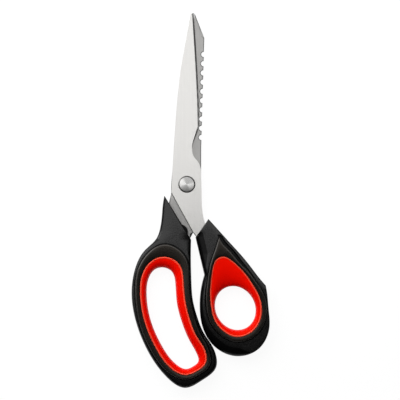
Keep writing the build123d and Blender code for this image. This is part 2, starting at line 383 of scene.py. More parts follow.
@dataclass
class Plate:
    """A closed solid that lies flat, with its own heights above and below each point in plan."""

    outline: Points
    holes: list[Points]
    rows: list[Points]
    spacing: float = GRID_STEP

    def free_points(self) -> Points:
        """The points between the outline and the holes.

        Returns:
            Row points that hold their distance, and a loose grid between them.
        """
        loops = [self.outline, *self.holes]
        rows = np.concatenate(self.rows)
        low, high = self.outline.min(0), self.outline.max(0)
        across = np.arange(low[0], high[0], self.spacing)
        along = np.arange(low[1], high[1], self.spacing * GRID_ROW_SHARE)
        grid = np.array([
            (x + (index % 2) * self.spacing / 2, y) for index, y in enumerate(along) for x in across])
        tree = KDTree(len(rows))
        for index, (x, y) in enumerate(rows):
            tree.insert((x, y, 0), index)
        tree.balance()
        far = [tree.find((x, y, 0))[2] > self.spacing * ROW_ROOM_SHARE for x, y in grid]
        points = np.concatenate([rows, grid[np.array(far)]])
        keep = inside(points, self.outline)
        for hole in self.holes:
            keep &= ~inside(points, hole)
        points = points[keep]
        for loop in loops:
            points = points[nearest(points, loop, True)[0] > MERGE_STEP]
        cells = np.unique(np.round(points / MERGE_STEP).astype(int), axis=0, return_index=True)[1]
        return points[np.sort(cells)]

    def flat(self) -> tuple[Points, np.ndarray]:
        """Fills the plan with triangles.

        Returns:
            The points, and three indices for each triangle, anticlockwise.
        """
        loops = [self.outline, *self.holes]
        edges, count = [], 0
        for loop in loops:
            size = len(loop)
            edges += [(count + index, count + (index + 1) % size) for index in range(size)]
            count += size
        points = np.concatenate([*loops, self.free_points()])
        made = delaunay_2d_cdt([Vector(point) for point in points.tolist()], edges, [], 0, 1e-6)
        flat = np.array([tuple(v) for v in made[0]])
        triangles = np.array(made[2])
        middle = flat[triangles].mean(1)
        keep = inside(middle, self.outline)
        for hole in self.holes:
            keep &= ~inside(middle, hole)
        triangles = triangles[keep]
        one, two, three = (flat[triangles[:, index]] for index in range(3))
        turn = np.cross(two - one, three - one)
        triangles[turn < 0] = triangles[turn < 0][:, ::-1]
        used, renumbered = np.unique(triangles[np.abs(turn) > 1e-9], return_inverse=True)
        return flat[used], renumbered.reshape(-1, 3)

    def mesh(self, name: str, top: Height, bottom: Height,
             paint: Callable[[Points], np.ndarray] | None = None, alike: bool = False) -> bpy.types.Mesh:
        """Makes the solid.

        Args:
            name: The mesh's name.
            top: Height of the upper face at points in plan.
            bottom: Height of the lower face.
            paint: Material index of the upper face at points in plan.
            alike: Whether the lower face is painted alike, and the walls with index 1.

        Returns:
            The closed mesh, in metres.
        """
        plan, triangles = self.flat()
        count = len(plan)
        upper = np.column_stack([plan, top(plan)])
        lower = np.column_stack([plan, bottom(plan)])
        sides = {(int(a), int(b)) for t in triangles for a, b in ((t[0], t[1]), (t[1], t[2]), (t[2], t[0]))}
        walls = [(a + count, b + count, b, a) for a, b in sorted(sides) if (b, a) not in sides]
        faces = triangles.tolist() + (triangles[:, ::-1] + count).tolist() + walls
        mesh = bpy.data.meshes.new(name)
        mesh.from_pydata((np.concatenate([upper, lower]) * MM).tolist(), [], faces)
        if paint is not None:
            painted = paint(plan[triangles].mean(1))
            marks = np.zeros(len(faces), np.int32)
            marks[:len(triangles)] = painted
            if alike:
                marks[len(triangles):2 * len(triangles)] = painted
                marks[2 * len(triangles):] = 1
            mesh.polygons.foreach_set("material_index", marks)
        return finished(mesh)


def finished(mesh: bpy.types.Mesh) -> bpy.types.Mesh:
    """Smooths a mesh and keeps its sharp edges sharp."""
    mesh.validate()
    mesh.shade_smooth()
    mesh.set_sharp_from_angle(angle=SHARP_ANGLE)
    return mesh


def ring_mesh(name: str, rings: list[Points], closed: bool,
              marks: Sequence[int] | None = None) -> bpy.types.Mesh:
    """Skins a row of rings.

    Args:
        name: The mesh's name.
        rings: Rings of as many points each, anticlockwise, in order down the outside.
        closed: Whether the last ring joins the first; otherwise both ends get a cap.
        marks: Material index of the skin that follows each ring.

    Returns:
        The closed mesh, in metres.
    """
    size = len(rings[0])
    faces, marked = [], []
    for row in range(len(rings) if closed else len(rings) - 1):
        here, below = row * size, (row + 1) % len(rings) * size
        for index in range(size):
            after = (index + 1) % size
            faces.append((here + index, below + index, below + after, here + after))
            marked.append(marks[row] if marks else 0)
    if not closed:
        faces.append(tuple(range(size)))
        faces.append(tuple(reversed(range(size * (len(rings) - 1), size * len(rings)))))
        marked += [marks[0] if marks else 0, 0]
    mesh = bpy.data.meshes.new(name)
    mesh.from_pydata((np.concatenate(rings) * MM).tolist(), [], faces)
    mesh.polygons.foreach_set("material_index", marked)
    return finished(mesh)


class NodeBoard:
    """A material's node tree, filled by short calls."""

    def __init__(self, name: str) -> None:
        """Starts an empty material.

        Args:
            name: The material's name.
        """
        self.material = bpy.data.materials.new(name)
        self.material.use_nodes = True
        self.tree = self.material.node_tree
        self.tree.nodes.clear()
        self.output = self.add("OutputMaterial")

    def add(self, kind: str, links: dict | None = None, **values) -> bpy.types.Node:
        """Adds a node.

        Args:
            kind: The node's type, without its prefix ShaderNode.
            links: What is linked to each named or numbered input, or the value it is set to.
            **values: Properties of the node.

        Returns:
            The node.
        """
        node = self.tree.nodes.new("ShaderNode" + kind)
        for name, value in values.items():
            setattr(node, name, value)
        for key, value in (links or {}).items():
            if isinstance(value, Socket):
                self.tree.links.new(value, node.inputs[key])
            else:
                node.inputs[key].default_value = value
        return node

    def noise(self, stretch: tuple[float, float, float], detail: float = 3.0) -> Socket:
        """A noise in the object's own space.

        Args:
            stretch: Cells per metre along each axis.
            detail: How many finer layers it has.

        Returns:
            The noise's value.
        """
        place = self.add("TexCoord").outputs["Object"]
        sized = self.add("Mapping", {"Vector": place, "Scale": stretch}).outputs[0]
        return self.add("TexNoise", {"Vector": sized, "Scale": 1.0, "Detail": detail}).outputs[0]

    def ranged(self, value: Socket, low: float, high: float) -> Socket:
        """Maps a noise to a range.

        Args:
            value: The noise.
            low: Where it starts.
            high: Where it ends.

        Returns:
            The mapped value.
        """
        links = {0: value, 1: NOISE_LOW, 2: NOISE_HIGH, 3: low, 4: high}
        return self.add("MapRange", links).outputs[0]

    def tinted(self, value: Socket, low: Colour, high: Colour) -> Socket:
        """Mixes two colours by a noise.

        Args:
            value: The noise.
            low: The colour at its low end.
            high: The colour at its high end.

        Returns:
            The colour.
        """
        share = self.ranged(value, 0.0, 1.0)
        mix = self.add("Mix", {0: share, 6: (*low, 1), 7: (*high, 1)}, data_type="RGBA")
        return mix.outputs[2]

    def painted_sheen_wedges(self, colour: Socket, strength: float, turn: float) -> Socket:
        """Paints the two-lobed sheen of a turned face: darkens a colour in two opposite wedges round the
        object's axis, as painted shade beside painted bright wedges.

        Args:
            colour: The colour.
            strength: How much darker the wedges get.
            turn: Where the painted bright wedges lie, in radians.

        Returns:
            The colour.
        """
        place = self.add("TexCoord").outputs["Object"]
        round_share = self.add("TexGradient", {"Vector": place}, gradient_type="RADIAL").outputs["Fac"]
        links = {0: round_share, 1: WEDGE_PAIRS * math.tau, 2: turn}
        angle = self.add("Math", links, operation="MULTIPLY_ADD").outputs[0]
        wave = self.add("Math", {0: angle}, operation="COSINE").outputs[0]
        share = self.add("MapRange", {0: wave, 1: WEDGE_LOW, 2: WEDGE_HIGH, 3: strength, 4: 0.0}).outputs[0]
        mix = self.add("Mix", {0: share, 6: colour, 7: (*PAINTED_SHEEN_SHADE, 1)}, data_type="RGBA")
        return mix.outputs[2]

    def bump(self, value: Socket, depth: float, strength: float = 1.0) -> Socket:
        """A bump from a noise.

        Args:
            value: The noise.
            depth: Its depth in millimetres.
            strength: How much of it shows.

        Returns:
            The normal.
        """
        links = {"Height": value, "Distance": depth * MM, "Strength": strength}
        return self.add("Bump", links).outputs[0]

    def finish(self, shader: bpy.types.Node) -> bpy.types.Material:
        """Links the shader to the output and returns the material."""
        self.tree.links.new(shader.outputs[0], self.output.inputs["Surface"])
        return self.material


def scaled(colour: Colour, share: float) -> Colour:
    """A lighter or darker shade of a colour."""
    return tuple(part * share for part in colour)


@dataclass(frozen=True)
class Steel:
    """Bare steel with a fine grain from grinding or turning."""

    name: str
    colour: Colour
    roughness: float
    anisotropy: float
    grain: Grain = Grain.LENGTHWISE
    depth: float = 0.004
    variation: float = 0.05
    # Painted sheen: how much the colour darkens in wedges round the axis, and where the bright wedges lie.
    wedges: float = 0.0
    wedge_turn: float = 0.8

    def material(self) -> bpy.types.Material:
        """Builds the node material."""
        board = NodeBoard(self.name)
        fine = (9000.0, 140.0, 9000.0) if self.grain is Grain.LENGTHWISE else (2600.0, 2600.0, 2600.0)
        broad = (900.0, 18.0, 900.0) if self.grain is Grain.LENGTHWISE else (300.0, 300.0, 300.0)
        streaks, patches = board.noise(fine, 2.0), board.noise(broad, 4.0)
        colour = board.tinted(patches, scaled(self.colour, 1 - self.variation), self.colour)
        if self.wedges:
            colour = board.painted_sheen_wedges(colour, self.wedges, self.wedge_turn)
        shader = board.add("BsdfPrincipled", {
            "Base Color": colour,
            "Roughness": board.ranged(streaks, self.roughness * 0.85, self.roughness * 1.15),
            "Normal": board.bump(streaks, self.depth, 0.5),
            "Metallic": 1.0,
            "Anisotropic": self.anisotropy,
        })
        if self.grain is Grain.SPUN:
            tangent = board.add("Tangent", direction_type="RADIAL", axis="Z").outputs[0]
            board.tree.links.new(tangent, shader.inputs["Tangent"])
            shader.inputs["Anisotropic Rotation"].default_value = 0.25
        return board.finish(shader)


@dataclass(frozen=True)
class Moulding:
    """A moulded plastic or elastomer with a fine textured skin."""

    name: str
    colour: Colour
    roughness: float
    specular: float
    tint: Colour = (1.0, 1.0, 1.0)
    grain: float = 2600.0
    depth: float = 0.02
    variation: float = 0.25

    def material(self) -> bpy.types.Material:
        """Builds the node material."""
        board = NodeBoard(self.name)
        skin = board.noise((self.grain,) * 3, 3.0)
        patches = board.noise((120.0,) * 3, 4.0)
        low, high = scaled(self.colour, 1 - self.variation), scaled(self.colour, 1 + self.variation)
        shader = board.add("BsdfPrincipled", {
            "Base Color": board.tinted(patches, low, high),
            "Roughness": board.ranged(skin, self.roughness * 0.85, self.roughness * 1.15),
            "Normal": board.bump(skin, self.depth, 0.6),
            "Specular IOR Level": self.specular,
            "Specular Tint": (*self.tint, 1),
        })
        return board.finish(shader)


@dataclass(frozen=True)
class PaleFloor:
    """The pale ground: white to the camera, with a trace of the shadow kept."""

    name: str = "pale_floor"
    colour: float = 0.86
    white_share: float = 0.9
    glow: float = 1.05

    def material(self) -> bpy.types.Material:
        """Builds the node material."""
        board = NodeBoard(self.name)
        path = board.add("LightPath").outputs
        seen = board.add("Math", {0: path["Is Camera Ray"], 1: path["Is Glossy Ray"]}, operation="MAXIMUM")
        seen = board.add("Math", {0: seen.outputs[0], 1: path["Is Transmission Ray"]}, operation="MAXIMUM")
        links = {0: seen.outputs[0], 1: self.white_share}
        share = board.add("Math", links, operation="MULTIPLY").outputs[0]
        paint = board.add("BsdfDiffuse", {"Color": (self.colour,) * 3 + (1,)}).outputs[0]
        glow = board.add("Emission", {"Color": (1, 1, 1, 1), "Strength": self.glow}).outputs[0]
        return board.finish(board.add("MixShader", {0: share, 1: paint, 2: glow}))


FRONT_STEEL = Steel("front_steel", (0.80, 0.79, 0.77), 0.34, 0.0, variation=0.03)
# The rear blade's steel is set darker than the front blade's as painted shade, for the shade on its inner
# face.
SHADED_REAR_STEEL = Steel("rear_steel_painted_shade", (0.435, 0.43, 0.42), 0.36, 0.0)
# Darker steel on the real ground bevel and the heel's edge: painted shade for the dark line and contact
# shadow along them.
BEVEL_SHADE_STEEL = Steel("ground_bevel_painted_shade", (0.20, 0.20, 0.196), 0.42, 0.2)
# The turned head's face has its sheen painted into its colour as bright and shaded wedges.
SPUN_STEEL = Steel("spun_head", (0.86, 0.855, 0.84), 0.30, 0.85, Grain.SPUN, 0.002, wedges=0.42)
# Painted shade: the screw's rim and stem in a dark copy of its steel.
SHADED_PIVOT_STEEL = Steel("screw_rim_painted_shade", (0.16, 0.158, 0.155), 0.38, 0.0, Grain.SPUN)
SPRING_STEEL = Steel("bright_steel", (0.40, 0.40, 0.41), 0.35, 0.0, Grain.SPUN)
HANDLE_BLACK = Moulding("handle_plastic", (0.0026, 0.0025, 0.0026), 0.29, 0.62, grain=1500.0, depth=0.07)
COLLAR_BLACK = Moulding(
    "collar_plastic", (0.0042, 0.0032, 0.0024), 0.30, 0.5, (1.0, 0.9, 0.8), grain=1500.0, depth=0.05)
# Painted highlight: a lighter, glossier black on the collars' rounded edges.
COLLAR_RIM_HIGHLIGHT = Moulding(
    "collar_edge_painted_highlight", (0.0050, 0.0040, 0.0034), 0.27, 1.0, (1.0, 0.95, 0.9), depth=0.006)
LINER_RED = Moulding(
    "liner_elastomer", (0.90, 0.003, 0.0), 0.42, 0.22, (1.0, 0.2, 0.05), 1800.0, 0.003, 0.03)
# Painted highlight: a lighter orange-pink red on the liners' beads.
LINER_BEAD_HIGHLIGHT = Moulding(
    "bead_painted_highlight", (0.95, 0.085, 0.045), 0.35, 0.3, (1.0, 0.5, 0.35), 1800.0, 0.003, 0.03)
# Painted shade: a darker, less glossy black on the handles' steep flanks and in their grooves.
SHADE_PAINTED_BLACK = Moulding("flank_groove_painted_shade", (0.0014, 0.0014, 0.0015), 0.29, 0.2, depth=0.004)
BUMPER_RUBBER = Moulding("bumper_compound", (0.004, 0.004, 0.004), 0.6, 0.1, depth=0.03)
WASHER_PLASTIC = Moulding("washer_polymer", (0.80, 0.79, 0.75), 0.45, 0.4, variation=0.04)


def add_piece(name: str, mesh: bpy.types.Mesh, finishes: Sequence[Steel | Moulding], body: Body,
              node: str, slot: str) -> bpy.types.Object:
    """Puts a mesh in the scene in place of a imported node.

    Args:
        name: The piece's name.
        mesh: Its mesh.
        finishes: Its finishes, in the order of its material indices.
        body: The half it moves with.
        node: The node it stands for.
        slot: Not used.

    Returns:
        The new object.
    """
    piece = bpy.data.objects.new(name, mesh)
    bpy.context.scene.collection.objects.link(piece)
    for finish in finishes:
        mesh.materials.append(made_material(finish))
    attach(piece, body.value)
    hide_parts(node)
    return piece


def made_material(finish: Steel | Moulding) -> bpy.types.Material:
    """The finish's material, made once."""
    return bpy.data.materials.get(finish.name) or finish.material()


@dataclass
class Blade:
    """What both blades share."""

    width: float = 20.0
    reach: float = 115.0
    tang_reach: float = 50.0
    edge_land: float = 0.3

    def points(self, shares: Pairs) -> Points:
        """Blade points from shares; below the pivot they follow the tang's reach."""
        reaches = [self.reach if y > 0 else self.tang_reach for _, y in shares]
        return np.array(shares, float) * np.column_stack([np.full(len(reaches), self.width), reaches])


@dataclass
class ThumbBlade(Blade):
    """The front blade, with a bone notch and a ground bevel along its cutting edge."""

    bevel_width: float = 1.15
    bevel_growth: float = 0.6
    edge_break: float = 0.12
    heel_break: float = 0.4
    heel_drop: float = 0.27
    bore_radius: float = 3.04
    tip_shares: Pairs = ((0.228, 1.0), (0.125, 0.990))
    spine_shares: Pairs = (
        (-0.176, 0.701), (-0.316, 0.503), (-0.400, 0.310), (-0.476, 0.100), (-0.516, -0.120))
    tang_shares: Pairs = (
        (0.210, -0.648), (0.300, -0.696), (0.390, -0.770), (0.640, -1.040), (0.830, -0.960),
        (0.860, -0.760))
    side_shares: Pairs = ((0.595, -0.506), (0.525, -0.372), (0.495, -0.130), (0.474, 0.088))
    notch_shares: Pairs = (
        (0.474, 0.088), (0.378, 0.131), (0.228, 0.166), (0.184, 0.206), (0.308, 0.283), (0.420, 0.335))
    notch_root: int = 3
    edge_shares: Pairs = ((0.420, 0.335), (0.395, 0.500), (0.313, 0.780), (0.228, 1.0))

    def build(self) -> list[bpy.types.Object]:
        """Makes the blade.

        Returns:
            The one piece.
        """
        low, high = span("thumb_blade")
        tip, tip_back = self.points(self.tip_shares)
        spine = smooth(self.points(self.spine_shares), False)
        tang = self.points(self.tang_shares)
        side = smooth(self.points(self.side_shares), False)
        notch_stations = self.points(self.notch_shares)
        notch = smooth(notch_stations, False, step=NOTCH_STEP)
        edge = smooth(self.points(self.edge_shares), False)
        back = [straight(tip, tip_back), straight(tip_back, spine[0]), spine, tang, side[:-1]]
        outline = np.concatenate([*back, notch[:-1], edge[:-1]])
        root = int(np.hypot(*(notch - notch_stations[self.notch_root]).T).argmin())
        rising = notch[root:-1]
        ground = np.concatenate([rising, edge])
        widths = np.full(len(ground), self.bevel_width)
        widths[:len(rising)] *= np.linspace(0, 1, len(rising)) ** self.bevel_growth
        bevel = Edge(ground, widths, high - low - self.edge_land, EdgeForm.CHAMFER)
        dull = np.concatenate([*back, notch[:root + 1]])
        blunt = Edge(dull, self.edge_break, self.edge_break, EdgeForm.CHAMFER)
        slant = np.concatenate([straight(spine[-1], tang[0]), tang[:2]])
        heel = Edge(slant, self.heel_break, self.heel_drop, EdgeForm.CHAMFER)
        bore = circle((0, 0), self.bore_radius, BORE_SIDES)
        plate = Plate(outline, [bore], [*bevel.rows(), *blunt.rows(), *heel.rows()], BLADE_GRID_STEP)

        def top(plan: Points) -> np.ndarray:
            """Height of the front face."""
            return high - np.maximum(np.maximum(bevel.depth(plan), heel.depth(plan)), blunt.depth(plan))

        def bottom(plan: Points) -> np.ndarray:
            """Height of the flat inner face."""
            return np.full(len(plan), low)

        def paint(plan: Points) -> np.ndarray:
            """Marks the ground bevel and the slanted heel's edge for the darker steel, painted shade along
            them.
            """
            return (np.maximum(bevel.depth(plan), heel.depth(plan)) > self.edge_break).astype(int)

        mesh = plate.mesh("front_blade", top, bottom, paint)
        return [add_piece("front_blade", mesh, (FRONT_STEEL, BEVEL_SHADE_STEEL), Body.THUMB, "thumb_blade",
                          "front_blade_steel")]


def circle(centre: tuple[float, float], radius: float, count: int) -> Points:
    """Points of a circle, anticlockwise.

    Args:
        centre: Its centre.
        radius: Its radius.
        count: How many points.

    Returns:
        The points.
    """
    turn = np.arange(count) * 2 * math.pi / count
    return np.stack([centre[0] + radius * np.cos(turn), centre[1] + radius * np.sin(turn)], 1)


@dataclass
class FingerBlade(Blade):
    """The rear blade, with round bites along its spine and a straight cutting edge."""

    bevel_width: float = 1.1
    edge_break: float = 0.45
    edge_drop: float = 0.31
    bore_radius: float = 3.02
    bite_count: int = 10
    bite_pitch: float = 6.18
    bite_radius: float = 1.75
    bite_points: int = 15
    top_bite_reach: float = 87.0
    crest_offset_high: float = 11.7
    crest_offset_low: float = 9.6
    shoulder_share: float = 0.852
    tip_share: tuple[float, float] = (0.260, 0.996)
    heel_shares: Pairs = (
        (-0.085, 0.345), (-0.160, 0.262), (-0.300, 0.182), (-0.440, 0.112), (-0.500, 0.048),
        (-0.522, -0.120))
    tang_shares: Pairs = (
        (-0.605, -0.258), (-0.680, -0.420), (-0.640, -0.640), (-0.480, -0.755), (-0.110, -0.790),
        (0.115, -0.722))
    side_shares: Pairs = ((0.210, -0.648), (0.400, -0.460), (0.470, -0.250), (0.478, 0.0))

    def crest(self) -> Points:
        """The spine from its foot to its shoulder.

        Returns:
            Its points, with a half-round bite at each pitch.
        """
        shoulder = (self.crest_offset_high, self.shoulder_share * self.reach)
        foot = (self.crest_offset_low, self.top_bite_reach - self.bite_count * self.bite_pitch)
        fall = (foot[0] - shoulder[0]) / (foot[1] - shoulder[1])
        turn = np.radians(np.linspace(-90, -270, self.bite_points))
        line, last = [], foot
        for index in reversed(range(self.bite_count)):
            reach = self.top_bite_reach - index * self.bite_pitch
            offset = self.crest_offset_high + fall * (reach - shoulder[1])
            across, along = self.bite_radius * np.cos(turn), self.bite_radius * np.sin(turn)
            bite = np.stack([offset + across, reach + along], 1)
            line += [straight(last, bite[0]), bite[:-1]]
            last = bite[-1]
        return np.concatenate([*line, straight(last, shoulder), [shoulder]])

    def build(self) -> list[bpy.types.Object]:
        """Makes the blade.

        Returns:
            The one piece.
        """
        low, high = span("finger_blade")
        tip = self.points((self.tip_share,))[0]
        heel = smooth(self.points(self.heel_shares), False)
        tang = self.points(self.tang_shares)
        side = smooth(self.points(self.side_shares), False)
        crest = self.crest()
        cutting = np.concatenate([straight(tip, heel[0]), heel[:1]])
        rest = np.concatenate([heel, tang, side[:-1], straight(side[-1], crest[0]), crest, [tip]])
        outline = np.concatenate([cutting[:-1], rest[:-1]])
        bevel = Edge(cutting, self.bevel_width, high - low - self.edge_land, EdgeForm.CHAMFER)
        blunt = Edge(rest, self.edge_break, self.edge_drop, EdgeForm.CHAMFER)
        bore = circle((0, 0), self.bore_radius, BORE_SIDES)
        plate = Plate(outline, [bore], [*bevel.rows(), *blunt.rows()], BLADE_GRID_STEP)

        def top(plan: Points) -> np.ndarray:
            """Height of the flat inner face."""
            return high - blunt.depth(plan)

        def bottom(plan: Points) -> np.ndarray:
            """Height of the rear face, with its bevel."""
            return low + np.maximum(bevel.depth(plan), blunt.depth(plan))

        mesh = plate.mesh("rear_blade", top, bottom)
        return [add_piece("rear_blade", mesh, (SHADED_REAR_STEEL,), Body.FINGER, "finger_blade",
                          "rear_blade_steel")]


@dataclass
class PivotScrew:
    """The pivot screw: a spun face inside a relieved rim, whose steel is darker as painted shade."""

    centre_radius: float = 0.4
    face_radius: float = 4.95
    rim_radius: float = 5.65
    face_edge: float = 0.25
    rim_drop: float = 0.95
    rim_step_share: float = 0.6
    seat_height: float = 8.87
    barrel_radius: float = 3.0
    thread_radius: float = 2.5
    thread_height: float = 3.15
    thread_pitch: float = 0.5
    sides: int = 96

    def profile(self, high: float) -> tuple[Pairs, list[int]]:
        """Radii and heights from the middle of the face down to the screw's end.

        Args:
            high: Height of the face.

        Returns:
            The profile, and the material index that follows each of its points.
        """
        face = [
            (self.centre_radius, high), (self.face_radius - self.face_edge, high),
            (self.face_radius - self.face_edge / 3, high - self.face_edge / 4),
            (self.face_radius, high - self.face_edge)]
        rim = [
            (self.face_radius + self.face_edge / 2, high - self.rim_drop * self.rim_step_share),
            (self.rim_radius, high - self.rim_drop),
            (self.rim_radius, self.seat_height + self.face_edge / 2),
            (self.rim_radius - self.face_edge / 2, self.seat_height)]
        stem = [
            (self.barrel_radius, self.seat_height), (self.barrel_radius, self.thread_height),
            (self.thread_radius, self.thread_height)]
        turns = int(self.thread_height / self.thread_pitch) - 1
        for turn in range(turns):
            height = self.thread_height - (turn + 0.5) * self.thread_pitch
            stem.append((self.thread_radius - self.thread_pitch / 2, height))
            stem.append((self.thread_radius, height - self.thread_pitch / 2))
        end = [(self.thread_radius, self.face_edge), (self.thread_radius - self.face_edge, 0.0)]
        points = face + rim + stem + end
        return points, [0] * 3 + [1] * (len(points) - 3)

    def build(self) -> list[bpy.types.Object]:
        """Makes the screw.

        Returns:
            The one piece.
        """
        high = span("pivot_screw")[1]
        profile, marks = self.profile(high)
        rings = [np.column_stack([circle((0, 0), radius, self.sides), np.full(self.sides, height)])
                 for radius, height in profile]
        mesh = ring_mesh("pivot_screw_turned", rings, False, marks)
        return [add_piece("pivot_screw_turned", mesh, (SPUN_STEEL, SHADED_PIVOT_STEEL), Body.FINGER, "pivot_screw",
                          "pivot_steel")]


@dataclass
class SoftLiner:
    """A red ring: a bead along its outer edge, painted lighter orange as a painted highlight, and a face
    that rolls over into the hole.
    """

    bead: float = 1.2
    bead_lift: float = 0.12
    bead_sink_share: float = 0.35
    roll_start_share: float = 1.08
    bead_turns: tuple[float, ...] = (0.0, 30.0, 60.0, 90.0, 120.0, 150.0)
    roll_turns: tuple[float, ...] = (4.0, 12.0, 20.0, 29.0, 38.0, 47.0, 56.0, 65.0, 73.0, 80.0, 86.0)

    def mesh(self, name: str, hole: Points, outer: Points, low: float, high: float) -> bpy.types.Mesh:
        """Makes the ring.

        Args:
            name: The mesh's name.
            hole: Anticlockwise points of the hole.
            outer: As many points of the outer edge, each opposite its point of the hole.
            low: Lower face.
            high: Upper face.

        Returns:
            The closed mesh.
        """
        wall = np.hypot(*(hole - outer).T)
        middle = (low + high) / 2
        radius = self.bead / 2
        face = high - self.bead_lift - radius * self.bead_sink_share
        half = []
        for turn in np.radians(self.bead_turns):
            half.append((radius * (1 - np.cos(turn)) / wall, high - radius * (1 - np.sin(turn))))
        start = self.bead * self.roll_start_share / wall
        for turn in np.radians(self.roll_turns):
            half.append((start + (1 - start) * np.sin(turn), middle + (face - middle) * np.cos(turn)))
        rings = [(np.ones(len(wall)), middle)]
        rings = half + rings + [(share, low + high - height) for share, height in reversed(half)]
        skins = [np.column_stack([outer + (hole - outer) * share[:, None], np.full(len(wall), height)])
                 for share, height in rings]
        beads = len(self.bead_turns) - 1
        # The bead's rows get the lighter finish, a painted highlight.
        marks = [int(row < beads or row >= len(skins) - beads) for row in range(len(skins))]
        return ring_mesh(name, skins, True, marks)


def collar_mesh(name: str, outer: Points, inner: Points, low: float, high: float, edge: float,
                fall: float) -> bpy.types.Mesh:
    """A raised ring with a rounded outer edge, whose face falls towards its inside; the rounded edge gets a
    painted highlight, a lighter and glossier finish.

    Args:
        name: The mesh's name.
        outer: Anticlockwise points of its outer edge.
        inner: Anticlockwise points of its hole.
        low: Lower face.
        high: Upper face.
        edge: Radius of the outer edge.
        fall: How far the face falls to the hole.

    Returns:
        The closed mesh.
    """
    rim = Edge(outer, edge, edge, closed=True, painted_share=1.0)
    lip = Edge(inner[::-1], edge * LIP_SHARE, edge * LIP_SHARE, closed=True)
    plate = Plate(outer, [inner], [*rim.rows(), *lip.rows()], COLLAR_GRID_STEP)

    def depth(plan: Points) -> np.ndarray:
        """How far the face lies under its level."""
        out = nearest(plan, outer, True)[0]
        share = out / (out + nearest(plan, inner, True)[0] + 1e-9)
        return np.maximum(rim.depth(plan), lip.depth(plan)) + fall * share**2

    return plate.mesh(name, lambda plan: high - depth(plan), lambda plan: low + depth(plan),
                      # The rounded edge gets the second finish, a painted highlight.
                      lambda plan: rim.dark(plan).astype(int), alike=True)


@dataclass
class Handle:
    """What both handles share: a black shell, a raised collar in it and a soft liner in that."""

    name: str = "finger"
    body: Body = Body.FINGER
    least_points: int = 2
    flank_gap: float = 0.9
    collar_edge: float = 1.0
    collar_fall: float = 0.5
    groove_narrow: float = 0.5

    def shell_mesh(self, plate: Plate, depth: Height, paint: Height) -> bpy.types.Mesh:
        """Makes the shell, alike on both faces.

        Args:
            plate: Its plan.
            depth: How far its face lies under its level at points in plan.
            paint: Whether points lie on its steep edges or in its groove.

        Returns:
            The closed mesh.
        """
        low, high = span(f"{self.name}_handle")
        return plate.mesh(
            f"{self.name}_shell", lambda plan: high - depth(plan), lambda plan: low + depth(plan),
            lambda plan: paint(plan).astype(int), alike=True)

    def dressed(self, shell: bpy.types.Mesh, collar: Points, liner: Points,
                hole: Points) -> list[bpy.types.Object]:
        """Makes the collar and the liner, and adds them with the shell.

        Args:
            shell: The shell's mesh.
            collar: Anticlockwise points of the collar's edge.
            liner: Anticlockwise points of the liner's edge.
            hole: As many points of the hole.

        Returns:
            The three pieces.
        """
        low, high = span(f"{self.name}_collar")
        ring = collar_mesh(f"{self.name}_ring", collar, liner, low, high, self.collar_edge, self.collar_fall)
        soft = SoftLiner().mesh(f"{self.name}_soft_liner", hole, liner, *span(f"{self.name}_liner"))
        # Each piece's second finish is painted light: shade on the shell's flanks and grooves, highlights on
        # the collar's edge and the liner's bead.
        rows = (
            ("shell", shell, (HANDLE_BLACK, SHADE_PAINTED_BLACK), "handle", "handle_black"),
            ("ring", ring, (COLLAR_BLACK, COLLAR_RIM_HIGHLIGHT), "collar", "collar_black"),
            ("soft_liner", soft, (LINER_RED, LINER_BEAD_HIGHLIGHT), "liner", "liner_red"))
        return [add_piece(f"{self.name}_{piece}", mesh, finishes, self.body, f"{self.name}_{node}", slot)
                for piece, mesh, finishes, node, slot in rows]


